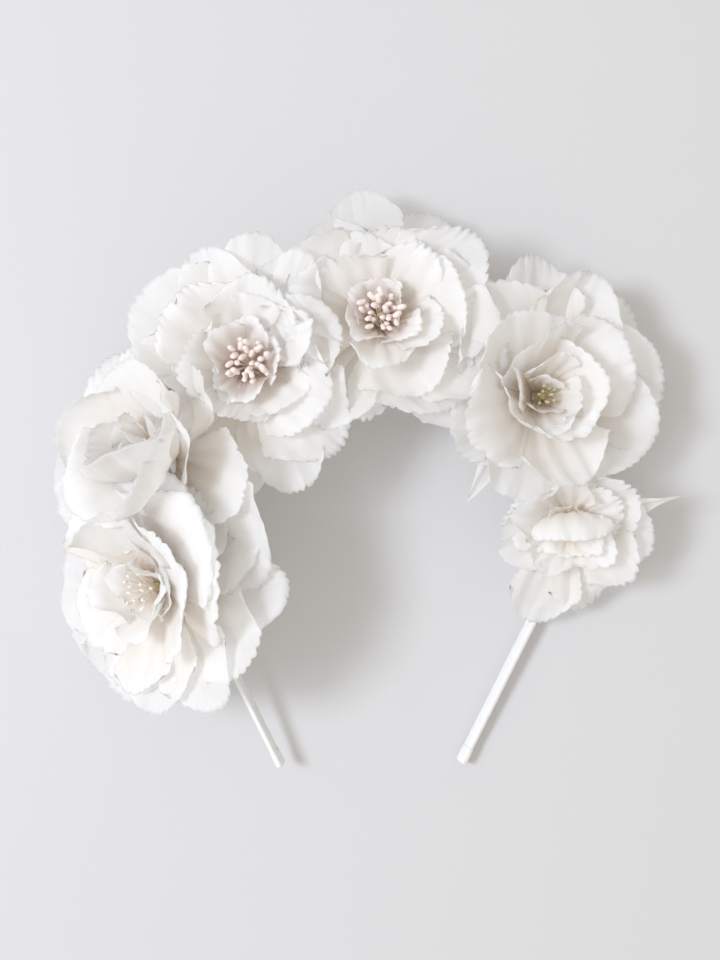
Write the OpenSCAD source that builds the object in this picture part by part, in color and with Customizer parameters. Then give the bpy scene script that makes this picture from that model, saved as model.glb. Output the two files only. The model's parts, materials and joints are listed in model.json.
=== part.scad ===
// Flower crown: a ribbon-wrapped spring-steel head band that carries six fabric flowers.
// It lies on a table as it would rest there: tips towards -Y, flowers facing up and outwards.

/* [Band] */
// Radius of the arch, measured to the middle of the strip
arch_r = 66; // [55:1:80]
// Angle by which the arch carries on below its widest line, on each side
arch_drop = 26; // [18:1:34]
// Length of each straight leg below the arch
leg_len = 62; // [50:1:76]
// Distance from the tip of a leg up to the line where it flexes
flex_up = 40; // [30:1:44]
// Width of the spring-steel strip
strip_w = 4.0; // [3.6:0.1:6]
// Thickness of the spring-steel strip
strip_t = 1.0; // [0.7:0.05:1.3]
// Thickness of the satin ribbon wound on the strip
ribbon_t = 0.35; // [0.25:0.05:0.5]
// Lean of the strip, its upper edge outwards
band_lean = 20; // [15:1:35]
// Free gap in the flex line, between leg and arch
flex_gap = 0.3; // [0.2:0.05:0.5]

/* [Tip caps] */
// Length of the folded ribbon end on each tip
cap_len = 6; // [4:0.5:10]
// Thickness of the folded ribbon end
cap_t = 0.3; // [0.2:0.05:0.5]

/* [Flower stems] */
// Radius of a stem wire
stem_r = 0.8; // [0.5:0.05:1]
// Clearance between a stem wire and what is threaded on it
stem_gap = 0.08; // [0.05:0.01:0.15]
// Height of a calyx
calyx_h = 4.2; // [3:0.2:6]
// Largest radius of a calyx
calyx_r = 4.4; // [3.6:0.1:5.5]

/* [Petals] */
// Spread of a full-size flower from petal tip to petal tip
flower_d = 80; // [64:1:88]
// Thickness of the petal cloth with its folds
petal_t = 0.5; // [0.4:0.05:0.8]
// Free gap between one petal layer and the next along the stem
layer_gap = 0.12; // [0.1:0.02:0.6]

/* [Stamens] */
// Number of stamens in a full-size flower
stamen_n = 16; // [8:1:22]
// Radius of a stamen's filament
filament_r = 0.28; // [0.2:0.02:0.4]
// Radius of the bead on a stamen
bead_r = 1.05; // [0.7:0.05:1.3]

/* [Fixings] */
// Radius of the felt pad behind each flower
pad_r = 6.5; // [5:0.5:8]
// Thickness of the felt pad
pad_t = 1.2; // [0.8:0.1:2]
// Length of the thread binding along the band
bind_len = 4; // [3:0.5:6]
// Thickness of the thread binding
bind_t = 0.35; // [0.2:0.05:0.6]
// Free gap between the binding and what it ties
bind_gap = 0.1; // [0.1:0.02:0.2]

/* [Hidden] */

// How the crown lies: pitched up towards the flowers and rolled down to the right tip.
lie_pitch = 5;
lie_roll = 5.4;
lie_shift = [3.25, -15.16, 13.26];

// Flowers, from the lower left round to the lower right.
LOWER_LEFT = 0;
LEFT = 1;
UPPER_LEFT = 2;
TOP = 3;
RIGHT = 4;
LOWER_RIGHT = 5;

// Per flower: place on the arch, direction and angle of its tilt, neck length, size.
FLOWERS = [
    [195, 185, 42, 9, 1.00],
    [161, 160, 42, 9, 0.95],
    [129, 100, 14, 8, 1.00],
    [90, 92, 20, 8, 1.00],
    [41, 25, 16, 8, 1.02],
    [6, 240, 20, 10.5, 0.62]
];
// Angles on the arch that part one flower's room from the next.
ROOM_EDGES = [262, 184, 148, 114, 56, 20, -75];
room_gap = 0.8;

// Outer petals of each flower, cut back to the flower's room: direction, rise, length, width.
OUTER_PETALS = [
    [[205, 4, 45, 36], [160, 8, 41, 30], [255, 10, 36, 28], [305, 6, 42, 34],
        [350, 20, 44, 30], [35, 22, 42, 30], [95, 12, 40, 34]],
    [[128, 6, 45, 28], [100, 16, 40, 26], [172, 8, 40, 26], [205, 8, 38, 26], [322, 22, 44, 26], [265, 22, 32, 24]],
    [[132, 6, 40, 32], [92, 20, 41, 28], [62, 18, 38, 22], [186, 8, 36, 28],
        [249, 4, 43, 24], [276, 8, 46, 24], [318, 16, 40, 32]],
    [[180, 22, 36, 36], [58, 20, 30, 26], [6, 16, 40, 32], [326, 18, 44, 36],
        [272, 14, 40, 16], [230, 14, 42, 28], [298, 15, 42, 34]],
    [[88, 8, 46, 30], [125, 20, 38, 34], [44, 8, 42, 34], [355, 8, 43, 38],
        [215, 20, 34, 30], [278, 18, 38, 26], [301, 12, 42, 26]],
    [[95, 22, 20, 24], [190, 18, 24, 22], [350, 16, 28, 20], [318, 14, 28, 18],
        [255, 36, 33, 20], [282, 36, 29, 16], [40, 14, 24, 20]]
];
// Petals that reach past their flower's room, in the same terms.
FREE_PETALS = [[], [], [], [], [[236, 3, 46, 16]], [[20, 9, 37, 12]]];
// Petals of the low layer behind the top flower.
BACK_PETALS = [[106, -9, 45, 30], [122, -4, 38, 22], [58, -9, 42, 30]];

// Middle and inner layers: number of petals, radius of the cup, height, radius of a notch.
MIDDLE_CUP = [6, 24, 19, 5];
INNER_CUP = [5, 15, 17, 4];
outer_cup_r = 42;
// Radius at which the outer petals leave their middle disc, and that of the receptacle.
OUTER_ROOT = 4.6;
receptacle_r = 2.5;

layer_step = petal_t + layer_gap;
ribbon_w_out = strip_w + 2 * ribbon_t;
ribbon_t_out = strip_t + 2 * ribbon_t;
half_t = ribbon_t_out / 2;
leg_break = leg_len - flex_up;
stem_off = half_t + stem_r + bind_gap / 2;
stem_top = ribbon_w_out / 2 + bind_t + 2 * bind_gap + stem_r;
bore_r = stem_r + stem_gap;
bend_r = stem_r + 0.06;
receptacle_h = 0.8;
stem_grip = 1;
// Place of the top flower's back layer, in steps below its outer petals' seat.
back_level = -1.35;
pistil_h = 3.2;
eps = 0.01;

$fn = 48;

// ---------------------------------------------------------------- places

// The whole crown as it lies on the table.
module lie_down() {
    translate(lie_shift)
        rotate([lie_pitch, lie_roll, 0])
            children();
}

// Frame on the arch at an angle: +X outwards, +Y along the band, +Z up.
module on_arch(angle) {
    rotate([0, 0, angle])
        translate([arch_r, 0, 0])
            children();
}

// Frame in the leaning strip: +X out of its outer face, +Z across its width.
module leaned() {
    rotate([0, band_lean, 0])
        children();
}

// Frame of the right leg, +Y back along the arch; the left leg is its mirror image.
module on_leg(side) {
    mirror([side < 0 ? 1 : 0, 0, 0])
        on_arch(-arch_drop)
            leaned()
                children();
}

// The petal lengths and cups below are drawn for a flower 80 across.
bloom = flower_d / 80;

function place(i) = FLOWERS[i][0];
function tilt_way(i) = FLOWERS[i][1];
function tilt(i) = FLOWERS[i][2];
function neck(i) = FLOWERS[i][3];
function size(i) = FLOWERS[i][4] * bloom;
function stem_reach() = arch_r + stem_off * cos(band_lean) + stem_top * sin(band_lean);
function stem_rise() = stem_top * cos(band_lean) - stem_off * sin(band_lean);

// Heights along a flower's stem, above its bend.
function inner_r(i) = INNER_CUP[1] * size(i) - petal_t / 2;
function receptacle_at(i) = neck(i) + 3 * layer_step + stem_gap
    + inner_r(i) - sqrt(inner_r(i) * inner_r(i) - receptacle_r * receptacle_r);
function pistil_at(i) = receptacle_at(i) + receptacle_h;
function calyx_top(i) = neck(i) - petal_t - (i == TOP ? -back_level * layer_step : 0);

// Frame of a flower: origin at the bend of its stem, +Z out of the flower's middle.
module on_flower(i) {
    rotate([0, 0, place(i)])
        translate([stem_reach(), 0, stem_rise()])
            rotate([0, 0, tilt_way(i) - place(i)])
                rotate([0, tilt(i), 0])
                    rotate([0, 0, -tilt_way(i)])
                        children();
}

// Room of a flower: a wedge about the middle of the arch, with a gap to its neighbours.
module room(i) {
    from = ROOM_EDGES[i + 1];
    to = ROOM_EDGES[i];
    half = (to - from) / 2;
    far = 4 * arch_r;
    rotate([0, 0, (from + to) / 2])
        translate([room_gap / 2 / sin(half), 0, -arch_r])
            linear_extrude(3 * arch_r)
                polygon([[0, 0], far * [cos(half), -sin(half)], [far, 0], far * [cos(half), sin(half)]]);
}

// ---------------------------------------------------------------- band

// Section of the leaning strip in the plane through the arch's axis.
module strip_section(t, w) {
    translate([arch_r, 0])
        rotate(-band_lean)
            square([t, w], center = true);
}

// Arch with its two leg stubs, down to the flex lines.
module arch_body(t, w) {
    rotate([0, 0, -arch_drop])
        rotate_extrude(angle = 180 + 2 * arch_drop, $fn = 180)
            strip_section(t, w);
    for (side = [-1, 1])
        on_leg(side)
            translate([-t / 2, -leg_break, -w / 2])
                cube([t, leg_break, w]);
}

// Round seats in which the legs' rounded ends turn.
module flex_seats() {
    for (side = [-1, 1])
        on_leg(side)
            translate([0, -leg_break, -ribbon_w_out])
                cylinder(r = half_t + flex_gap, h = 2 * ribbon_w_out);
}

// Leg below the flex line, with its rounded upper end.
module leg_body(side, t, w) {
    on_leg(side) {
        translate([-t / 2, -leg_len, -w / 2])
            cube([t, flex_up, w]);
        translate([0, -leg_break, -w / 2])
            cylinder(d = t, h = w);
    }
}

module band_arch_strip() {
    color("silver")
        lie_down()
            difference() {
                arch_body(strip_t, strip_w);
                flex_seats();
            }
}

module band_arch_ribbon() {
    color("white")
        lie_down()
            difference() {
                arch_body(ribbon_t_out, ribbon_w_out);
                arch_body(strip_t, strip_w);
                flex_seats();
            }
}

module leg_strip(side) {
    color("silver")
        lie_down()
            leg_body(side, strip_t, strip_w);
}

module leg_ribbon(side) {
    color("white")
        lie_down()
            difference() {
                leg_body(side, ribbon_t_out, ribbon_w_out);
                leg_body(side, strip_t, strip_w);
            }
}

module tip_cap(side) {
    t = ribbon_t_out + 2 * cap_t;
    w = ribbon_w_out + 2 * cap_t;
    color("ghostwhite")
        lie_down()
            on_leg(side)
                difference() {
                    translate([-t / 2, -leg_len - cap_t, -w / 2])
                        cube([t, cap_len + cap_t, w]);
                    translate([-ribbon_t_out / 2, -leg_len, -ribbon_w_out / 2])
                        cube([ribbon_t_out, cap_len + eps, ribbon_w_out]);
                }
}

// ---------------------------------------------------------------- fixings

// Thread wound round the band and the shank of one stem.
module binding(i) {
    inner_t = ribbon_t_out + 2 * stem_r + 2 * bind_gap;
    inner_w = ribbon_w_out + 2 * bind_gap;
    on_arch(place(i))
        leaned()
            translate([stem_off - half_t, 0, 0])
                difference() {
                    cube([inner_t + 2 * bind_t, bind_len, inner_w + 2 * bind_t], center = true);
                    cube([inner_t, bind_len + 2, inner_w], center = true);
                }
}

// The thread's pass over the shank leaves room for the stem to come out at the top.
module stem_bindings() {
    color("seashell")
        lie_down()
            for (i = [0:len(FLOWERS) - 1])
                difference() {
                    binding(i);
                    on_arch(place(i))
                        leaned()
                            translate([stem_off, 0, 0])
                                cylinder(r = bore_r, h = arch_r);
                }
}

module felt_pad(i) {
    near = half_t + bind_gap + bind_t + bind_gap;
    color("whitesmoke")
        lie_down()
            intersection() {
                rotate_extrude($fn = 180)
                    translate([arch_r, 0])
                        rotate(-band_lean)
                            translate([-near - pad_t, -pad_r])
                                square([pad_t, 2 * pad_r]);
                on_arch(place(i))
                    leaned()
                        rotate([0, -90, 0])
                            cylinder(r = pad_r, h = near + 3 * pad_t);
            }
}

module stem_wire(i) {
    color("honeydew")
        lie_down() {
            on_arch(place(i))
                leaned()
                    translate([stem_off, 0, -ribbon_w_out / 2])
                        cylinder(r = stem_r, h = ribbon_w_out / 2 + stem_top);
            on_flower(i) {
                sphere(r = bend_r);
                cylinder(r = stem_r, h = pistil_at(i) + stem_grip);
            }
        }
}

module calyx(i) {
    color("palegreen")
        lie_down()
            on_flower(i)
                translate([0, 0, calyx_top(i) - calyx_h])
                    difference() {
                        cylinder(r1 = stem_r + 0.9, r2 = calyx_r, h = calyx_h);
                        translate([0, 0, -1])
                            cylinder(r = bore_r, h = calyx_h + 2);
                    }
}

// ---------------------------------------------------------------- petals

// Outline of a petal laid flat: a narrow claw, widest past the middle, a round tip.
function petal_edge(length, width, claw, n = 9) = [
    for (k = [0:n])
        let (s = k / n)
            [length * (1 - cos(180 * s)) / 2, claw + (width / 2 - claw) * pow(sin(180 * pow(s, 1.35)), 0.8)]
];
function petal_outline(length, width, claw) =
    let (
        edge = petal_edge(length, width, claw),
        n = len(edge) - 1,
        side = concat([for (k = [0:n - 1]) edge[k]], [[length, claw / 2]])
    )
        concat([for (p = side) [p.x, -p.y]], [for (k = [n:-1:0]) [side[k].x, side[k].y]]);

// One cupped petal along +X from the origin, a piece of a thin ball shell.
module petal(length, width, cup_r, claw) {
    middle = sqrt(cup_r * cup_r - length * length / 4);
    intersection() {
        translate([length / 2, 0, middle])
            difference() {
                sphere(r = cup_r + petal_t / 2, $fn = 72);
                sphere(r = cup_r - petal_t / 2, $fn = 72);
            }
        translate([0, 0, -cup_r])
            linear_extrude(cup_r + middle)
                polygon(petal_outline(length, width, claw));
    }
}

// One petal of a layer: its direction, rise, length and width.
module set_petal(direction, rise, length, width, cup_r, root, claw) {
    rotate([0, 0, direction])
        translate([root, 0, 0])
            rotate([0, -rise, 0])
                petal(length, width, cup_r, claw);
}

module layer_disc(root) {
    cylinder(r = root + petal_t, h = petal_t, center = true);
}

module stem_hole() {
    cylinder(r = bore_r, h = 30, center = true);
}

// A layer whose petals are listed one by one.
module listed_layer(i, petals, level, root) {
    on_flower(i)
        translate([0, 0, neck(i) + level * layer_step - petal_t / 2])
            difference() {
                union() {
                    layer_disc(root);
                    for (p = petals)
                        set_petal(p[0], p[1], p[2] * bloom, p[3] * bloom, outer_cup_r, root - petal_t, root * 0.55);
                }
                stem_hole();
            }
}

// A rosette drawn up into a cup, its petals parted by notches down from the rim.
module cup_layer(i, cup, level, turn) {
    s = size(i);
    n = cup[0];
    cup_r = cup[1] * s;
    height = cup[2] * s;
    notch_r = cup[3] * s;
    on_flower(i)
        translate([0, 0, neck(i) + level * layer_step])
            rotate([0, 0, turn])
                difference() {
                    intersection() {
                        translate([0, 0, cup_r - petal_t / 2])
                            difference() {
                                sphere(r = cup_r + petal_t / 2, $fn = 72);
                                sphere(r = cup_r - petal_t / 2, $fn = 72);
                            }
                        translate([0, 0, -petal_t - 1])
                            cylinder(r = 2 * cup_r, h = height + petal_t + 1);
                    }
                    for (k = [0:n - 1])
                        rotate([0, 0, 360 * k / n])
                            translate([0.6 * cup_r, 0, height])
                                rotate([0, 90, 0])
                                    cylinder(r = notch_r, h = cup_r);
                    stem_hole();
                }
}

module outer_petals(i) {
    color("white")
        lie_down()
            union() {
                intersection() {
                    listed_layer(i, OUTER_PETALS[i], 1, OUTER_ROOT);
                    room(i);
                }
                if (len(FREE_PETALS[i]) > 0)
                    listed_layer(i, FREE_PETALS[i], 1, OUTER_ROOT);
            }
}

module top_back_petals() {
    color("white")
        lie_down()
            listed_layer(TOP, BACK_PETALS, back_level + petal_t / 2 / layer_step, OUTER_ROOT + 1);
}

module middle_petals(i) {
    color("snow")
        lie_down()
            intersection() {
                cup_layer(i, MIDDLE_CUP, 2, 15 + 23 * i);
                room(i);
            }
}

module inner_petals(i) {
    color("snow")
        lie_down()
            intersection() {
                cup_layer(i, INNER_CUP, 3, 38 + 29 * i);
                room(i);
            }
}

// ---------------------------------------------------------------- stamens and pistil

// A cluster of beaded filaments standing on the receptacle; beads keep clear of each other.
module stamens(i) {
    s = size(i);
    n = s < 0.8 ? ceil(stamen_n / 2) : stamen_n;
    inside = floor(n / 3);
    color("bisque")
        lie_down()
            on_flower(i)
                translate([0, 0, receptacle_at(i)])
                    difference() {
                        union() {
                            cylinder(r = receptacle_r, h = receptacle_h);
                            for (k = [0:n - 1]) {
                                inner = k < inside;
                                turn = inner ? 360 * k / inside : 360 * k / (n - inside);
                                rise = (inner ? 13 : 11) * (0.9 + 0.1 * s) + 1.2 * sin(97 * k);
                                rotate([0, 0, turn])
                                    translate([receptacle_r - 0.5, 0, receptacle_h / 2])
                                        rotate([0, inner ? 4 : 21, 0]) {
                                            cylinder(r = filament_r, h = rise, $fn = 16);
                                            translate([0, 0, rise])
                                                sphere(r = bead_r * (0.7 + 0.3 * s), $fn = 24);
                                        }
                            }
                        }
                        stem_hole();
                    }
}

module pistil(i) {
    color("yellowgreen")
        lie_down()
            on_flower(i)
                translate([0, 0, pistil_at(i)])
                    difference() {
                        union() {
                            cylinder(r1 = 1.5, r2 = 1.1, h = pistil_h);
                            translate([0, 0, pistil_h])
                                sphere(r = 1.1);
                        }
                        translate([0, 0, -eps])
                            cylinder(r = bore_r, h = stem_grip + stem_gap + eps);
                    }
}

// ---------------------------------------------------------------- nodes

band_arch_strip();
band_arch_ribbon();
leg_strip(-1);  // left_leg_strip
leg_ribbon(-1);  // left_leg_ribbon
tip_cap(-1);  // left_tip_cap
leg_strip(1);  // right_leg_strip
leg_ribbon(1);  // right_leg_ribbon
tip_cap(1);  // right_tip_cap
stem_bindings();
top_back_petals();

felt_pad(LOWER_LEFT);  // lower_left_felt_pad
stem_wire(LOWER_LEFT);  // lower_left_stem_wire
calyx(LOWER_LEFT);  // lower_left_calyx
outer_petals(LOWER_LEFT);  // lower_left_outer_petals
middle_petals(LOWER_LEFT);  // lower_left_middle_petals
inner_petals(LOWER_LEFT);  // lower_left_inner_petals
stamens(LOWER_LEFT);  // lower_left_stamens
pistil(LOWER_LEFT);  // lower_left_pistil

felt_pad(LEFT);  // left_felt_pad
stem_wire(LEFT);  // left_stem_wire
calyx(LEFT);  // left_calyx
outer_petals(LEFT);  // left_outer_petals
middle_petals(LEFT);  // left_middle_petals
inner_petals(LEFT);  // left_inner_petals
stamens(LEFT);  // left_stamens
pistil(LEFT);  // left_pistil

felt_pad(UPPER_LEFT);  // upper_left_felt_pad
stem_wire(UPPER_LEFT);  // upper_left_stem_wire
calyx(UPPER_LEFT);  // upper_left_calyx
outer_petals(UPPER_LEFT);  // upper_left_outer_petals
middle_petals(UPPER_LEFT);  // upper_left_middle_petals
inner_petals(UPPER_LEFT);  // upper_left_inner_petals
stamens(UPPER_LEFT);  // upper_left_stamens
pistil(UPPER_LEFT);  // upper_left_pistil

felt_pad(TOP);  // top_felt_pad
stem_wire(TOP);  // top_stem_wire
calyx(TOP);  // top_calyx
outer_petals(TOP);  // top_outer_petals
middle_petals(TOP);  // top_middle_petals
inner_petals(TOP);  // top_inner_petals
stamens(TOP);  // top_stamens
pistil(TOP);  // top_pistil

felt_pad(RIGHT);  // right_felt_pad
stem_wire(RIGHT);  // right_stem_wire
calyx(RIGHT);  // right_calyx
outer_petals(RIGHT);  // right_outer_petals
middle_petals(RIGHT);  // right_middle_petals
inner_petals(RIGHT);  // right_inner_petals
stamens(RIGHT);  // right_stamens
pistil(RIGHT);  // right_pistil

felt_pad(LOWER_RIGHT);  // lower_right_felt_pad
stem_wire(LOWER_RIGHT);  // lower_right_stem_wire
calyx(LOWER_RIGHT);  // lower_right_calyx
outer_petals(LOWER_RIGHT);  // lower_right_outer_petals
middle_petals(LOWER_RIGHT);  // lower_right_middle_petals
inner_petals(LOWER_RIGHT);  // lower_right_inner_petals
stamens(LOWER_RIGHT);  // lower_right_stamens
pistil(LOWER_RIGHT);  // lower_right_pistil
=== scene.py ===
"""Flower crown: silk peonies wired to a ribbon-wound spring band."""
import json
import math
import random

import bmesh
import bpy
from mathutils import Matrix, Vector, noise
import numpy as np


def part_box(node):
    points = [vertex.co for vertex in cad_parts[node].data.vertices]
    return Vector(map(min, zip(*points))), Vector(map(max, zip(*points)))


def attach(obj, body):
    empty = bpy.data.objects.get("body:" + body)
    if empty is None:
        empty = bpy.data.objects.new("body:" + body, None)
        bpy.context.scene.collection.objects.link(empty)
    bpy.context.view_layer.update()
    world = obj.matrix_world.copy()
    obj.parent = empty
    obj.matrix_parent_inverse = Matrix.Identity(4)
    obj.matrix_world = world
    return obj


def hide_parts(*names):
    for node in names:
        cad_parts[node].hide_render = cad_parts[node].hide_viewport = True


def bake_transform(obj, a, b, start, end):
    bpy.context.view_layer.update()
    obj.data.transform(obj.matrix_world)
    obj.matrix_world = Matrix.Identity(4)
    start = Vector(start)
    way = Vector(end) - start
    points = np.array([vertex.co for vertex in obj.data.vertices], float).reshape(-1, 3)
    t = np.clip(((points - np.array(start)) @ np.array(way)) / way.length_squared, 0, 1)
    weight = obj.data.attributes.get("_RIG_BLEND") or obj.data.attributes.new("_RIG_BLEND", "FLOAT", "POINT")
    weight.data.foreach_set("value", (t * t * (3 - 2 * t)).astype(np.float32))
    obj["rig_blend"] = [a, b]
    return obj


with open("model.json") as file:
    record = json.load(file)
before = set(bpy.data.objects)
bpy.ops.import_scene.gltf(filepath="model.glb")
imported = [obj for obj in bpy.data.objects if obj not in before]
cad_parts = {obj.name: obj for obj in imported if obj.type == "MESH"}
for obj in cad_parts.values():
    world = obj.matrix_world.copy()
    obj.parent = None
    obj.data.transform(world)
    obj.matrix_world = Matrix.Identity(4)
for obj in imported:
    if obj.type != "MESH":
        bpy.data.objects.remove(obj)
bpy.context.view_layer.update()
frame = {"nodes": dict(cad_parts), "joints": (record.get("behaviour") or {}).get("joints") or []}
mm = 0.001


# ------------------------------------------------------------------ materials

def new_material(name):
    """A material with a plain surface shader, and its tree, shader and output."""
    m = bpy.data.materials.new(name)
    m.use_nodes = True
    nodes = m.node_tree.nodes
    nodes.clear()
    out = nodes.new("ShaderNodeOutputMaterial")
    shader = nodes.new("ShaderNodeBsdfPrincipled")
    m.node_tree.links.new(shader.outputs[0], out.inputs["Surface"])
    return m, m.node_tree, shader, out


def add(tree, kind, **values):
    """Adds a shader node and sets its settings, or its sockets by name."""
    n = tree.nodes.new(kind)
    for key, value in values.items():
        if hasattr(n, key):
            setattr(n, key, value)
        else:
            n.inputs[key.replace("_", " ")].default_value = value
    return n


def weave_group():
    """Plain weave: warp and weft waves, as a height."""
    g = bpy.data.node_groups.new("plain weave", "ShaderNodeTree")
    g.interface.new_socket("Vector", in_out="INPUT", socket_type="NodeSocketVector")
    g.interface.new_socket("Threads", in_out="INPUT", socket_type="NodeSocketFloat")
    g.interface.new_socket("Height", in_out="OUTPUT", socket_type="NodeSocketFloat")
    i = g.nodes.new("NodeGroupInput")
    o = g.nodes.new("NodeGroupOutput")
    waves = []
    for way in ("X", "Y"):
        w = g.nodes.new("ShaderNodeTexWave")
        w.bands_direction = way
        w.inputs["Distortion"].default_value = 0.4
        g.links.new(i.outputs["Vector"], w.inputs["Vector"])
        g.links.new(i.outputs["Threads"], w.inputs["Scale"])
        waves.append(w)
    cross = g.nodes.new("ShaderNodeMath")
    cross.operation = "ADD"
    g.links.new(waves[0].outputs["Fac"], cross.inputs[0])
    g.links.new(waves[1].outputs["Fac"], cross.inputs[1])
    g.links.new(cross.outputs[0], o.inputs["Height"])
    return g


weave = weave_group()
# Share of a lamp's light that goes straight through one wall of petal cloth.
LIGHT_THROUGH = 0.54
# Threads to one unit of the weave's pattern, in the petals and in the satin.
SILK_THREADS = 120.0
SATIN_THREADS = 150.0


def petal_cloth(name, tip, shade_tint, shade_deep, see_through):
    """Thin starched silk: light comes through it, and painted warm shade darkens it towards the heart."""
    m, t, shader, out = new_material(name)
    place = t.nodes.new("ShaderNodeTexCoord")
    depth = t.nodes.new("ShaderNodeAttribute")
    depth.attribute_name = "heart"
    cloud = add(t, "ShaderNodeTexNoise", Scale=70.0, Detail=3.0)
    t.links.new(place.outputs["Object"], cloud.inputs["Vector"])
    wobble = add(t, "ShaderNodeMath", operation="MULTIPLY_ADD")
    wobble.inputs[1].default_value = 0.22
    t.links.new(cloud.outputs["Fac"], wobble.inputs[0])
    t.links.new(depth.outputs["Fac"], wobble.inputs[2])
    # Painted shade: the colour runs from the tip colour to the warm shade colours as the heart weight rises
    # towards the claw; the noise adds a random tone.
    ramp = t.nodes.new("ShaderNodeValToRGB")
    ramp.color_ramp.elements[0].position = 0.12
    ramp.color_ramp.elements[0].color = (*tip, 1)
    ramp.color_ramp.elements[1].position = 1.0
    ramp.color_ramp.elements[1].color = (*shade_deep, 1)
    ramp.color_ramp.elements.new(0.66).color = (*shade_tint, 1)
    t.links.new(wobble.outputs[0], ramp.inputs["Fac"])
    t.links.new(ramp.outputs["Color"], shader.inputs["Base Color"])
    w = t.nodes.new("ShaderNodeGroup")
    w.node_tree = weave
    w.inputs["Threads"].default_value = SILK_THREADS
    uv = t.nodes.new("ShaderNodeUVMap")
    uv.uv_map = "cloth"
    t.links.new(uv.outputs["UV"], w.inputs["Vector"])
    vein = add(t, "ShaderNodeTexNoise", Scale=9.0, Detail=4.0)
    stretch = t.nodes.new("ShaderNodeMapping")
    stretch.inputs["Scale"].default_value = (1.0, 9.0, 1.0)
    t.links.new(uv.outputs["UV"], stretch.inputs["Vector"])
    t.links.new(stretch.outputs["Vector"], vein.inputs["Vector"])
    crease = add(t, "ShaderNodeMath", operation="MULTIPLY_ADD")
    crease.inputs[1].default_value = 5.0
    t.links.new(vein.outputs["Fac"], crease.inputs[0])
    t.links.new(w.outputs["Height"], crease.inputs[2])
    bump = add(t, "ShaderNodeBump", Strength=0.22, Distance=0.0002)
    t.links.new(crease.outputs[0], bump.inputs["Height"])
    t.links.new(bump.outputs["Normal"], shader.inputs["Normal"])
    shader.inputs["Roughness"].default_value = 0.72
    shader.inputs["Sheen Weight"].default_value = 0.25
    shader.inputs["Sheen Roughness"].default_value = 0.5
    shader.inputs["Specular IOR Level"].default_value = 0.25
    glow = t.nodes.new("ShaderNodeBsdfTranslucent")
    t.links.new(ramp.outputs["Color"], glow.inputs["Color"])
    cloth = t.nodes.new("ShaderNodeMixShader")
    cloth.inputs["Fac"].default_value = 0.5
    t.links.new(shader.outputs[0], cloth.inputs[1])
    t.links.new(glow.outputs[0], cloth.inputs[2])
    # open weave: the eye sees a little through it, and light from a lamp passes more freely
    clear = t.nodes.new("ShaderNodeBsdfTransparent")
    veils = []
    for share in (see_through, LIGHT_THROUGH):
        veil = t.nodes.new("ShaderNodeMixShader")
        veil.inputs["Fac"].default_value = share
        t.links.new(cloth.outputs[0], veil.inputs[1])
        t.links.new(clear.outputs[0], veil.inputs[2])
        veils.append(veil)
    path = t.nodes.new("ShaderNodeLightPath")
    seen = t.nodes.new("ShaderNodeMixShader")
    t.links.new(path.outputs["Is Shadow Ray"], seen.inputs["Fac"])
    t.links.new(veils[0].outputs[0], seen.inputs[1])
    t.links.new(veils[1].outputs[0], seen.inputs[2])
    t.links.new(seen.outputs[0], out.inputs["Surface"])
    return m


def satin_cloth(name, colour):
    """Satin ribbon: close warp threads along it, with a soft lustre."""
    m, t, shader, out = new_material(name)
    uv = t.nodes.new("ShaderNodeUVMap")
    uv.uv_map = "cloth"
    w = t.nodes.new("ShaderNodeGroup")
    w.node_tree = weave
    w.inputs["Threads"].default_value = SATIN_THREADS
    t.links.new(uv.outputs["UV"], w.inputs["Vector"])
    shade = add(t, "ShaderNodeTexNoise", Scale=14.0, Detail=3.0)
    t.links.new(uv.outputs["UV"], shade.inputs["Vector"])
    ramp = t.nodes.new("ShaderNodeValToRGB")
    ramp.color_ramp.elements[0].color = (*[c * 0.95 for c in colour], 1)
    ramp.color_ramp.elements[1].color = (*[min(1, c * 1.03) for c in colour], 1)
    t.links.new(shade.outputs["Fac"], ramp.inputs["Fac"])
    t.links.new(ramp.outputs["Color"], shader.inputs["Base Color"])
    bump = add(t, "ShaderNodeBump", Strength=0.3, Distance=0.00005)
    t.links.new(w.outputs["Height"], bump.inputs["Height"])
    t.links.new(bump.outputs["Normal"], shader.inputs["Normal"])
    shader.inputs["Roughness"].default_value = 0.42
    shader.inputs["Sheen Weight"].default_value = 0.2
    return m


def plain_finish(name, colour, rough, mottle=0.06, scale=400.0, metallic=0.0, grain=0.00006):
    """An even finish with a slight mottle in its colour and a fine grain."""
    m, t, shader, out = new_material(name)
    place = t.nodes.new("ShaderNodeTexCoord")
    mottling = add(t, "ShaderNodeTexNoise", Scale=scale, Detail=4.0)
    t.links.new(place.outputs["Object"], mottling.inputs["Vector"])
    ramp = t.nodes.new("ShaderNodeValToRGB")
    ramp.color_ramp.elements[0].color = (*[c * (1 - mottle) for c in colour], 1)
    ramp.color_ramp.elements[1].color = (*[min(1, c * (1 + mottle)) for c in colour], 1)
    t.links.new(mottling.outputs["Fac"], ramp.inputs["Fac"])
    t.links.new(ramp.outputs["Color"], shader.inputs["Base Color"])
    bump = add(t, "ShaderNodeBump", Strength=0.4, Distance=grain)
    t.links.new(mottling.outputs["Fac"], bump.inputs["Height"])
    t.links.new(bump.outputs["Normal"], shader.inputs["Normal"])
    shader.inputs["Roughness"].default_value = rough
    shader.inputs["Metallic"].default_value = metallic
    return m


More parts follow.
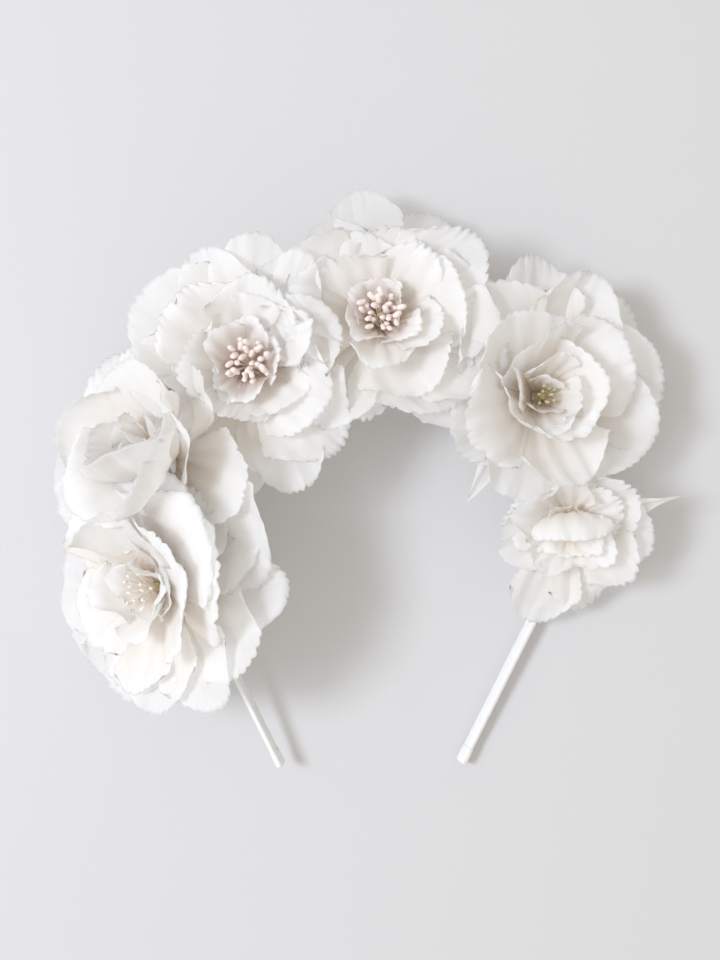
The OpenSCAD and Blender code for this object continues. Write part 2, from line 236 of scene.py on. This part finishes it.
satin = satin_cloth("satin ribbon", (0.90, 0.90, 0.89))
WHITE = (0.97, 0.968, 0.962)
# Each petal finish's second and third colours are painted warm shade towards the heart.
silk = petal_cloth("petal silk", WHITE, (0.955, 0.925, 0.885), (0.90, 0.82, 0.72), 0.14)
# Painted shade: the deep colour is the dark brown of the shaded heart between the stamens.
heart_shaded_silk = petal_cloth("heart-shaded petal silk", WHITE, (0.95, 0.895, 0.855), (0.62, 0.45, 0.37), 0.10)
organza = petal_cloth("petal organza", WHITE, (0.96, 0.935, 0.895), (0.95, 0.905, 0.85), 0.28)
sheer = petal_cloth("sheer petal organza", WHITE, (0.96, 0.935, 0.895), (0.95, 0.905, 0.85), 0.55)
thread = plain_finish("binding thread", (0.82, 0.81, 0.78), 0.7, 0.08, 1500.0)
felt = plain_finish("wool felt", (0.85, 0.84, 0.81), 0.95, 0.08, 1800.0, grain=0.0003)
steel = plain_finish("spring steel", (0.55, 0.55, 0.56), 0.35, 0.05, 600.0, metallic=1.0)
wire = plain_finish("papered stem wire", (0.74, 0.77, 0.68), 0.8, 0.08, 1200.0)
calyx_paper = plain_finish("calyx paper", (0.62, 0.68, 0.45), 0.75, 0.12, 500.0)
pearl = plain_finish("stamen pearl", (0.88, 0.78, 0.74), 0.38, 0.10, 700.0)
filament = plain_finish("stamen thread", (0.88, 0.86, 0.80), 0.6, 0.04, 900.0)
wax = plain_finish("pistil wax", (0.58, 0.52, 0.30), 0.45, 0.18, 700.0)

CAD_FINISH = {
    "strip": steel, "felt_pad": felt, "stem_wire": wire, "calyx": calyx_paper, "pistil": wax,
}
for node, obj in frame["nodes"].items():
    for word, finish in CAD_FINISH.items():
        if word in node:
            obj.data.materials.clear()
            obj.data.materials.append(finish)


# ------------------------------------------------------------------ petals

# Length of a cloth pattern's unit: this many to a metre.
UV_PER_METRE = 20
# How far along a petal its fan is fully wide, its rim starts to round and its tip to curl.
SHOULDER = 0.74
RIM_START = 0.5
CURL_START = 0.68
# A petal's slope is added up in this many steps from the claw.
SLOPE_STEPS = 8

def petal(bm, seat, way, rise, length, width, rng, cup=0.22, curl=0.45, ruffle=1.0,
          scallop=1.0, twist=0.0, start=0.0, lift=0.0, rows=20, cols=54, heart=1.0,
          point=0.0, bend=0.0, fold=0.0, crinkle=1.0):
    """One petal. way: direction round the flower. rise: its slope at the claw and at the rim."""
    res = bmesh.ops.create_grid(bm, x_segments=rows, y_segments=cols, size=0.5)
    uv = bm.loops.layers.uv["cloth"]
    shade = bm.verts.layers.float["heart"]
    p1, p2, p3 = (rng.uniform(0, 6.28) for _ in range(3))
    grain = Vector((rng.uniform(0, 50), rng.uniform(0, 50), rng.uniform(0, 50)))
    teeth = max(5, round(width / (rng.uniform(2.7, 3.9) * mm)))
    cup *= rng.uniform(0.5, 1.7)
    curl *= rng.uniform(-0.5, 1.5)
    ruffle *= rng.uniform(0.8, 1.5)
    a0, a1 = (math.radians(a) for a in rise)
    turn = Matrix.Rotation(math.radians(way), 4, "Z")
    lean = Matrix.Rotation(math.radians(twist), 4, "X")
    bite = rng.uniform(1.1, 2.1)
    rng.uniform(-9, 9)  # not used: it keeps the later draws in their order
    bend += rng.uniform(-0.10, 0.10)
    fold += rng.choice((0.0, 0.0, 0.22, -0.15))
    flat = {}
    for v in res["verts"]:
        s = v.co.x + 0.5
        c = v.co.y * 2
        # fan outline: narrow claw, broad shoulders, round rim cut with pinking shears
        fan = 0.17 + 0.83 * math.sin(0.5 * math.pi * min(1, s / SHOULDER)) ** 1.35
        rim = max(0, (s - RIM_START) / (1 - RIM_START))
        round_off = (0.30 + 0.5 * point) * abs(c) ** (2.3 - point) * rim
        uneven = 0.8 * noise.noise(Vector((c * 2.3, 0, 0)) + grain)
        tooth = abs(math.sin((teeth * (c + 1) * 0.5 + uneven) * math.pi)) ** 0.55
        reach = length * s * (1 - round_off)
        reach += scallop * (tooth - 0.75) * bite * (1 + uneven) * mm * rim ** 4
        reach += 2.2 * mm * noise.noise(Vector((c * 1.1, 3, 0)) + grain) * rim ** 2
        half = width / 2 * fan * (1 - (0.10 + 0.75 * point) * rim ** 2)
        side = half * c
        nick = math.sin(s * length / mm * 1.9 + p2)
        side += scallop * 0.5 * mm * nick * abs(c) ** 10 * c * min(1, 2 * s)
        flat[v] = (reach, side)
        x = z = 0.0
        for k in range(SLOPE_STEPS):
            q = (k + 0.5) / SLOPE_STEPS * s
            slope = a0 + (a1 - a0) * q - curl * max(0, q - CURL_START) ** 1.4 * 8
            x += math.cos(slope) * reach / SLOPE_STEPS
            z += math.sin(slope) * reach / SLOPE_STEPS
        up = Vector((-math.sin(a0 + (a1 - a0) * s), 0, math.cos(a0 + (a1 - a0) * s)))
        off = cup * half * c * c * (0.5 + 0.5 * s)
        off -= fold * abs(c) * half * s
        wave = math.sin(c * 3.0 + p2) + 0.45 * math.sin(c * 6.3 + p3) * abs(c)
        off += ruffle * 1.3 * mm * wave * s ** 2.4
        off += 0.35 * mm * math.sin(c * 13 + p1) * math.sin(math.pi * s) * (1 - 0.5 * s)
        off += 1.1 * mm * crinkle * noise.noise(Vector((reach * 22, side * 230, 7)) + grain) * s ** 1.5
        off += 2.2 * mm * ruffle * noise.noise(Vector((reach, side, 0)) * 52 + grain) * s
        off += 0.45 * mm * ruffle * noise.noise(Vector((reach, side, 0)) * 190 + grain) * rim
        off -= 0.8 * mm * ruffle * abs(noise.noise(Vector((reach * 0.35, side, 0)) * 150 + grain)) * s
        # Painted shade: darker towards the claw, where the cup is shaded.
        v[shade] = heart * (1 - s) ** 1.3
        side += bend * length * s * s
        co = Vector((x, side * (1 - 0.18 * cup * abs(c)), z)) + up * off
        co = lean @ co
        co.x += start
        co.z += lift
        v.co = seat @ (turn @ co)
    for f in {f for v in res["verts"] for f in v.link_faces}:
        f.smooth = True
        for loop in f.loops:
            r, q = flat[loop.vert]
            loop[uv].uv = (r * UV_PER_METRE, q * UV_PER_METRE)


def cloth_layer(name, seat, petals, rng, finish, body="crown", replaces=(), thick=0.06 * mm):
    """A die-cut layer of petals on its own seat."""
    bm = bmesh.new()
    bm.loops.layers.uv.new("cloth")
    bm.verts.layers.float.new("heart")
    for p in petals:
        petal(bm, seat, rng=rng, **p)
    cloth_area = sum(f.calc_area() for f in bm.faces)
    mesh = bpy.data.meshes.new(name)
    bm.to_mesh(mesh)
    bm.free()
    obj = bpy.data.objects.new(name, mesh)
    bpy.context.collection.objects.link(obj)
    mesh.materials.append(finish)
    wall = obj.modifiers.new("cloth", "SOLIDIFY")
    wall.thickness = thick
    wall.offset = 0
    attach(obj, body)
    if replaces:
        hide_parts(*replaces)
    return obj


def middle_of(node):
    lo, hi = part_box(node)
    return (Vector(lo) + Vector(hi)) / 2


def flower_seat(name):
    """Where the petals meet the stem, and the way the flower looks."""
    base = middle_of(name + "_calyx")
    top = middle_of(name + "_pistil")
    axis = (top - base).normalized()
    turn = Vector((0, 0, 1)).rotation_difference(axis).to_matrix().to_4x4()
    return Matrix.Translation(base + axis * 2.4 * mm) @ turn


def cut(way, rise, length, width, **more):
    """One petal's direction, slopes and size in mm, for a layer's list."""
    return dict(way=way, rise=rise, length=length * mm, width=width * mm,
                start=more.pop("start", 2.0) * mm, **more)


def ring(n, turn, rise, length, width, rng, spread=14, wild=1.0, **more):
    """A ring of n petals, each a little different from the next."""
    out = []
    for k in range(n):
        out.append(cut(turn + 360 * k / n + rng.uniform(-spread, spread),
                     (rise[0] + wild * rng.uniform(-8, 8), rise[1] + wild * rng.uniform(-14, 14)),
                     length * rng.uniform(0.84, 1.12), width * rng.uniform(0.86, 1.15),
                     twist=rng.uniform(-14, 14), bend=rng.uniform(-0.12, 0.12), **more))
    return out


FLOWERS = {
    "lower_left": dict(
        seed=11, outer=[
            cut(6, (-10, 6), 47, 38), cut(338, (2, 12), 47, 38), cut(30, (-2, 12), 44, 34),
            cut(66, (4, 22), 37, 36), cut(104, (2, 18), 37, 38), cut(140, (-2, 12), 41, 38),
            cut(178, (-2, 8), 44, 40), cut(213, (0, 8), 44, 40), cut(248, (-2, 10), 41, 38),
            cut(280, (6, 16), 41, 40), cut(308, (8, 16), 46, 38)],
        shells=[
            cut(112, (16, 28), 41, 50), cut(76, (22, 34), 44, 52), cut(40, (24, 36), 46, 50),
            cut(10, (20, 38), 44, 46), cut(84, (38, 52), 35, 46), cut(30, (38, 50), 36, 44),
            cut(345, (28, 52), 36, 36), cut(205, (4, 20), 34, 34), cut(252, (6, 24), 36, 34)],
        middle=[(4, 15, (40, 70), 24, 26)],
        inner=[(4, 0, (52, 84), 17, 18)]),
    "left": dict(
        seed=22, outer=[
            cut(130, (-2, 10), 45, 40), cut(104, (4, 20), 41, 34), cut(160, (-2, 12), 43, 38),
            cut(196, (0, 14), 43, 38), cut(228, (4, 18), 38, 36), cut(316, (-8, 6), 54, 46),
            cut(286, (-2, 12), 44, 38), cut(345, (2, 18), 38, 36), cut(62, (8, 26), 33, 32)],
        shells=[
            cut(286, (50, 128), 40, 46, curl=0.2, scallop=0.4, cup=0.35), cut(330, (40, 84), 42, 44),
            cut(20, (34, 66), 34, 38), cut(205, (34, 70), 34, 40), cut(150, (26, 54), 36, 38),
            cut(95, (24, 52), 34, 34)],
        middle=[(4, 50, (44, 80), 26, 27)],
        inner=[(4, 0, (58, 98), 18, 20)]),
    "upper_left": dict(
        seed=33, outer=[
            cut(146, (2, 14), 43, 46), cut(110, (10, 24), 41, 32), cut(88, (12, 18), 44, 30),
            cut(64, (12, 18), 41, 28), cut(182, (2, 14), 40, 36), cut(206, (8, 24), 33, 28),
            cut(232, (0, 12), 37, 34), cut(262, (-2, 8), 46, 28), cut(286, (2, 10), 44, 30),
            cut(320, (6, 22), 39, 42), cut(26, (12, 30), 34, 34)],
        shells=[cut(135, (16, 34), 33, 40), cut(330, (18, 40), 30, 36), cut(85, (20, 42), 31, 34)],
        middle=[(5, 40, (22, 44), 25, 27)],
        inner=[(5, 0, (44, 64), 17, 19)]),
    "top": dict(
        seed=44, outer=[
            cut(156, (8, 26), 36, 44), cut(194, (8, 28), 37, 42), cut(112, (14, 36), 29, 34),
            cut(76, (10, 30), 31, 34), cut(44, (4, 20), 41, 38), cut(12, (4, 20), 42, 42),
            cut(336, (4, 24), 45, 48), cut(302, (2, 18), 38, 38), cut(266, (6, 14), 34, 18),
            cut(236, (0, 14), 41, 32), cut(319, (-6, 6), 50, 38)],
        shells=[cut(178, (18, 38), 33, 40), cut(20, (20, 42), 31, 38), cut(300, (14, 34), 31, 40)],
        middle=[(5, 55, (26, 48), 25, 27)],
        inner=[(5, 15, (46, 68), 17, 19)]),
    "right": dict(
        seed=55, outer=[
            cut(92, (-2, 12), 48, 34), cut(70, (2, 14), 45, 34), cut(128, (6, 26), 42, 44),
            cut(42, (0, 14), 46, 44), cut(8, (0, 18), 44, 48), cut(338, (2, 20), 42, 42),
            cut(210, (8, 24), 34, 34), cut(234, (-4, 2), 44, 17, point=0.7), cut(262, (4, 18), 36, 36),
            cut(300, (2, 14), 36, 34)],
        shells=[
            cut(112, (26, 48), 35, 42), cut(200, (30, 46), 38, 38), cut(26, (20, 42), 34, 40),
            cut(285, (20, 42), 34, 38)],
        middle=[(4, 20, (36, 66), 28, 31)],
        inner=[(4, 5, (52, 82), 20, 22), (2, 75, (60, 92), 15, 17)]),
    "lower_right": dict(
        seed=66, outer=[
            cut(170, (4, 20), 21, 26), cut(200, (2, 18), 24, 26), cut(254, (-2, 8), 37, 27),
            cut(284, (0, 8), 32, 24), cut(350, (2, 18), 28, 28), cut(322, (4, 18), 28, 26),
            cut(34, (6, 24), 24, 26), cut(104, (12, 36), 18, 26), cut(14, (2, 8), 37, 13, point=0.8)],
        shells=[cut(95, (48, 150), 23, 30, curl=0.1)],
        middle=[(5, 20, (14, 42), 20, 21)],
        inner=[(4, 50, (36, 70), 14, 16)]),
}

# The flowers whose hearts face out of the crown; their inner petals get a deeper painted shade at the heart.
SHADED_HEARTS = ("upper_left", "top")

for name, plan in FLOWERS.items():
    rng = random.Random(plan["seed"])
    seat = flower_seat(name)
    cloth_layer(name + "_outer_cloth", seat, plan["outer"], rng, organza,
                replaces=[name + "_outer_petals"])
    rows = plan["shells"] + [p for n, turn, rise, length, width in plan["middle"]
            for p in ring(n, turn, rise, length, width, rng)]
    cloth_layer(name + "_middle_cloth", seat @ Matrix.Translation((0, 0, 0.7 * mm)),
                rows, rng, silk, replaces=[name + "_middle_petals"])
    # The inner petals carry a stronger painted shade at the heart.
    rows = [p for n, turn, rise, length, width in plan["inner"]
            for p in ring(n, turn, rise, length, width, rng, ruffle=0.9, cols=40, rows=16,
                          heart=1.15, crinkle=2.2)]
    cloth_layer(name + "_inner_cloth", seat @ Matrix.Translation((0, 0, 1.4 * mm)),
                rows, rng, heart_shaded_silk if name in SHADED_HEARTS else silk,
                replaces=[name + "_inner_petals"])

cloth_layer("top_back_cloth", flower_seat("top") @ Matrix.Translation((0, 0, -0.8 * mm)),
            [cut(106, (-14, 2), 47, 34), cut(122, (-10, 4), 40, 26), cut(58, (-12, 2), 44, 36)],
            random.Random(77), sheer, replaces=["top_back_petals"])


# ------------------------------------------------------------------ stamens

# Turn from one stamen to the next, which spreads them evenly, as seeds in a flower head.
SEED_TURN = 2.39996
FILAMENT_R = 0.17 * mm

def bridge(bm, before, after):
    """Joins two rings of vertices by a band of faces."""
    edges = {e for loop in (before, after) for v in loop for e in v.link_edges if e.other_vert(v) in loop}
    bmesh.ops.bridge_loops(bm, edges=list(edges))


def tube(bm, path, radius, sides, beside):
    """A closed thread along a path, its rings turned by the direction beside it."""
    last = None
    for k, p in enumerate(path):
        way = (path[min(k + 1, len(path) - 1)] - path[max(k - 1, 0)]).normalized()
        v_axis = way.cross(beside).normalized()
        u_axis = v_axis.cross(way)
        loop = bmesh.ops.create_circle(bm, segments=sides, radius=radius)["verts"]
        for v in loop:
            v.co = p + u_axis * v.co.x + v_axis * v.co.y
        if last:
            bridge(bm, last, loop)
        if k in (0, len(path) - 1):
            bmesh.ops.contextual_create(bm, geom=loop)
        last = loop


def new_piece(name, bm, finish):
    """Smooths the faces, turns them outwards and makes the object."""
    bmesh.ops.recalc_face_normals(bm, faces=bm.faces)
    for f in bm.faces:
        f.smooth = len(f.verts) < 6
    mesh = bpy.data.meshes.new(name)
    bm.to_mesh(mesh)
    bm.free()
    obj = bpy.data.objects.new(name, mesh)
    bpy.context.collection.objects.link(obj)
    mesh.materials.append(finish)
    return obj


def stamen_cluster(name, count, reach, spread, finish, rng, pip=1.0):
    """Starched threads with a waxed pip on each, fanned from the receptacle."""
    seat = flower_seat(name) @ Matrix.Translation((0, 0, 2.0 * mm))
    bm = bmesh.new()
    steps = 7
    for k in range(count):
        turn = seat @ Matrix.Rotation(SEED_TURN * k + rng.uniform(-0.3, 0.3), 4, "Z")
        out = spread * math.sqrt((k + 0.5) / count)
        tall = reach * rng.uniform(0.82, 1.08) * mm
        path = [turn @ Vector(((0.7 + out * (j / steps) ** 2) * mm, rng.uniform(-0.12, 0.12) * mm,
                               tall * j / steps)) for j in range(steps + 1)]
        tube(bm, path, FILAMENT_R, 7, turn.to_3x3() @ Vector((0, 1, 0)))
        aim = Vector((0, 0, 1)).rotation_difference(path[-1] - path[-2]).to_matrix()
        lean = Matrix.Rotation(rng.uniform(-0.7, 0.7), 3, "Y")
        lean = lean @ Matrix.Rotation(rng.uniform(-0.7, 0.7), 3, "X")
        size = pip * mm * rng.uniform(0.85, 1.15)
        head = bmesh.ops.create_uvsphere(bm, u_segments=12, v_segments=9, radius=1)["verts"]
        for v in head:
            waist = 1 - 0.28 * math.cos(v.co.z * 2.6) * (abs(v.co.z) < 0.9)
            pip_shape = Vector((v.co.x * 0.72 * waist, v.co.y * 0.56, v.co.z))
            v.co = path[-1] + aim @ (lean @ pip_shape) * size
    obj = new_piece(name + "_stamen_threads", bm, finish)
    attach(obj, "crown")
    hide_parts(name + "_stamens")


for name, count, reach, spread, finish, pip in [
        ("lower_left", 12, 12, 6, filament, 0.9), ("left", 12, 11, 4, pearl, 0.9),
        ("upper_left", 28, 12, 6.6, pearl, 1.75), ("top", 24, 12, 6.4, pearl, 1.7),
        ("right", 9, 9, 3, wax, 0.9), ("lower_right", 9, 9, 3, filament, 0.8)]:
    stamen_cluster(name, count, reach, spread, finish, random.Random(count * 7 + len(name)), pip)


# ------------------------------------------------------------------ the band's ribbon and thread

def reach(node, way, near=None, within=0.0):
    """Middle and half length of a node's vertices along a direction."""
    along = [v.co.dot(way) for v in frame["nodes"][node].data.vertices
             if near is None or (v.co - near).length < within]
    return (max(along) + min(along)) / 2, (max(along) - min(along)) / 2


def leg_axes(side):
    """A leg's flex point, the way down it, out of its outer face and across its width."""
    joint = next(j for j in frame["joints"] if j["child"] == side + "_leg")
    flex = Vector(joint["pos_m"])
    across = Vector(joint["axis"]).normalized()
    if across.z < 0:
        across = -across
    down = (middle_of(side + "_tip_cap") - flex).normalized()
    out = across.cross(down) if side == "right" else down.cross(across)
    return flex, down, out.normalized(), across


class Arch:
    """The arch's axes, middle, radius, lean and drop, from its flex points and its strip."""
    right_flex, right_down, right_out, right_across = leg_axes("right")
    left_flex, left_down = leg_axes("left")[:2]
    x = (right_flex - left_flex).normalized()
    y = -(left_down + right_down).normalized()
    z = x.cross(y)
    away = z.cross(right_down)
    drop = -math.atan2(away.dot(y), away.dot(x))
    lean = math.atan2(right_across.dot(away), right_across.dot(z))
    half_t = reach("right_leg_strip", right_out)[1]
    half_w = reach("right_leg_strip", right_across)[1]
    middle, half = reach("band_arch_strip", y)
    top = middle + half - half_t * math.cos(lean) - half_w * math.sin(lean)
    chord = (right_flex + left_flex) / 2
    rise = top - chord.dot(y)
    r = ((right_flex - chord).dot(away) - away.dot(y) * rise) / (1 - away.dot(y))
    centre = chord + y * (rise - r)


def on_arch(angle):
    """Place on the arch at an angle, with the way along it, out of it and across it."""
    radial = Arch.x * math.cos(angle) + Arch.y * math.sin(angle)
    along = Arch.y * math.cos(angle) - Arch.x * math.sin(angle)
    out = radial * math.cos(Arch.lean) - Arch.z * math.sin(Arch.lean)
    across = Arch.z * math.cos(Arch.lean) + radial * math.sin(Arch.lean)
    return Arch.centre + radial * Arch.r, along, out, across


def rounded(angle, half_t, half_w, squareness=6.0):
    """A point on a rounded rectangle."""
    c, s = math.cos(angle), math.sin(angle)
    r = (abs(c) ** squareness + abs(s) ** squareness) ** (-1 / squareness)
    return c * r * half_t, s * r * half_w


def wound_sleeve(name, stations, lap=0.09 * mm, turn=5.5 * mm, sides=20):
    """Satin wound round the strip, with a low step where each turn laps the last."""
    bm = bmesh.new()
    uv = bm.loops.layers.uv.new("cloth")
    flat = {}
    last = None
    for k, (t, place, out, across, half_t, half_w) in enumerate(stations):
        loop = bmesh.ops.create_circle(bm, segments=sides, radius=1)["verts"]
        for v in loop:
            a = math.atan2(v.co.y, v.co.x)
            step = lap * ((t / turn + 0.35 * math.sin(a)) % 1.0)
            x, y = rounded(a, half_t + step, half_w + step)
            v.co = place + out * x + across * y
            flat[v] = (t * UV_PER_METRE, (x + y) * UV_PER_METRE)
        if last:
            bridge(bm, last, loop)
        if k in (0, len(stations) - 1):
            bmesh.ops.contextual_create(bm, geom=loop)
        last = loop
    for f in bm.faces:
        for corner in f.loops:
            corner[uv].uv = flat[corner.vert]
    return new_piece(name, bm, satin)


ribbon_t = reach("right_leg_ribbon", Arch.right_out)[1] + 0.04 * mm
ribbon_w = reach("right_leg_ribbon", Arch.right_across)[1] + 0.04 * mm

# The arch, carried a little way down both stubs under the legs' own ribbon.
run = []
span = math.pi + 2 * Arch.drop
under = 4 * mm
for k in range(-1, 362):
    place, along, out, across = on_arch(-Arch.drop + span * min(max(k, 0), 360) / 360)
    past = under * ((k > 360) - (k < 0))
    run.append((Arch.r * span * k / 360 + past, place + along * past, out, across,
                ribbon_t - 0.03 * mm, ribbon_w - 0.03 * mm))
arch_satin = wound_sleeve("arch_satin", run)
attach(arch_satin, "crown")
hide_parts("band_arch_ribbon")


# How far up under the flowers a leg's satin starts, and how far each side of the flex it bends.
UNDER_FLOWERS = 19 * mm
FLEX_ZONE = 3 * mm


def leg_satin(side):
    """Satin from under the flowers to the tip, in one run across the flex line, and its folded end."""
    flex, down, out, across = leg_axes(side)
    cap_mid, cap_half = reach(side + "_tip_cap", down)
    cap_start = cap_mid - cap_half - flex.dot(down)
    tip = cap_mid + cap_half - flex.dot(down)
    first = -UNDER_FLOWERS
    count = 160
    run = []
    for k in range(count + 1):
        t = first + (cap_start + 1.5 * mm - first) * k / count
        run.append((t, flex + down * t, out, across, ribbon_t, ribbon_w))
    obj = wound_sleeve(side + "_leg_satin", run)
    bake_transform(obj, "crown", side + "_leg",
             start=tuple(flex - down * FLEX_ZONE), end=tuple(flex + down * FLEX_ZONE))
    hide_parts(side + "_leg_ribbon")
    cap_t = reach(side + "_tip_cap", out)[1]
    cap_w = reach(side + "_tip_cap", across)[1]
    round_end = 1.1 * mm
    run = []
    for k in range(41):
        t = cap_start + (tip - cap_start) * k / 40
        hem = 1 - 0.12 * math.exp(-((t - cap_start - 0.9 * mm) / (0.25 * mm)) ** 2)
        q = max(0.0, (t - tip + round_end) / round_end)
        close = math.sqrt(max(0.0, 1 - (0.96 * q) ** 2))
        half_w = (cap_w - round_end) * hem + round_end * close
        run.append((t, flex + down * t, out, across, cap_t * hem * close, half_w))
    fold = wound_sleeve(side + "_tip_fold", run, lap=0.0)
    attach(fold, side + "_leg")
    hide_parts(side + "_tip_cap")


for side in ("left", "right"):
    leg_satin(side)


def stem_threads(radius=0.19 * mm, per_turn=24):
    """Thread wound in close turns round the band and each stem's shank."""
    bm = bmesh.new()
    for name in FLOWERS:
        pad = middle_of(name + "_felt_pad") - Arch.centre
        place, along, out, across = on_arch(math.atan2(pad.dot(Arch.y), pad.dot(Arch.x)))
        size = [reach("stem_bindings", way, place, 9 * mm) for way in (along, out, across)]
        middle = along * size[0][0] + out * size[1][0] + across * size[2][0]
        turns = round((size[0][1] - radius) / radius)
        count = turns * per_turn
        path = []
        for k in range(count + 1):
            x, y = rounded(2 * math.pi * k / per_turn, size[1][1] - radius, size[2][1] - radius, 5.0)
            slide = (2 * k / count - 1) * (size[0][1] - radius)
            path.append(middle + along * slide + out * x + across * y)
        tube(bm, path, radius, 6, along)
    obj = new_piece("stem_threads", bm, thread)
    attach(obj, "crown")
    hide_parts("stem_bindings")


stem_threads()


# ------------------------------------------------------------------ stage

bpy.ops.mesh.primitive_plane_add(size=6)
floor = bpy.context.object
floor.name = "table"
ground = plain_finish("table top", (0.655, 0.655, 0.66), 0.6, 0.004, 40.0, grain=0.00001)
floor.data.materials.append(ground)

world = bpy.data.worlds.new("room")
world.use_nodes = True
world.node_tree.nodes["Background"].inputs[0].default_value = (1.0, 0.955, 0.90, 1)
world.node_tree.nodes["Background"].inputs[1].default_value = 0.76
bpy.context.scene.world = world


def lamp(name, place, target, size, power, colour=(1, 1, 1)):
    """A soft round lamp that faces its target."""
    data = bpy.data.lights.new(name, "AREA")
    data.shape = "DISK"
    data.size = size
    data.energy = power
    data.color = colour
    obj = bpy.data.objects.new(name, data)
    bpy.context.collection.objects.link(obj)
    obj.location = place
    obj.rotation_euler = (Vector(target) - Vector(place)).to_track_quat("-Z", "Y").to_euler()
    return obj


# The camera's place above the crown, and how much of the height it takes in.
EYE = (-0.0016, 0.0015, 0.5)
VIEW_HEIGHT_DEG = 38.2

lamp("window", (-1.08, 0.08, 1.42), (0, 0, 0), 0.5, 19, (0.82, 0.88, 1.0))

data = bpy.data.cameras.new("camera")
data.sensor_fit = "VERTICAL"
data.angle = math.radians(VIEW_HEIGHT_DEG)
camera = bpy.data.objects.new("camera", data)
bpy.context.collection.objects.link(camera)
camera.location = EYE
bpy.context.scene.camera = camera
bpy.context.scene.view_settings.view_transform = "Standard"
# Many thin petals lie behind each other, so light has to get through all of them.
bpy.context.scene.cycles.transparent_max_bounces = 32
bpy.context.scene.cycles.diffuse_bounces = 8
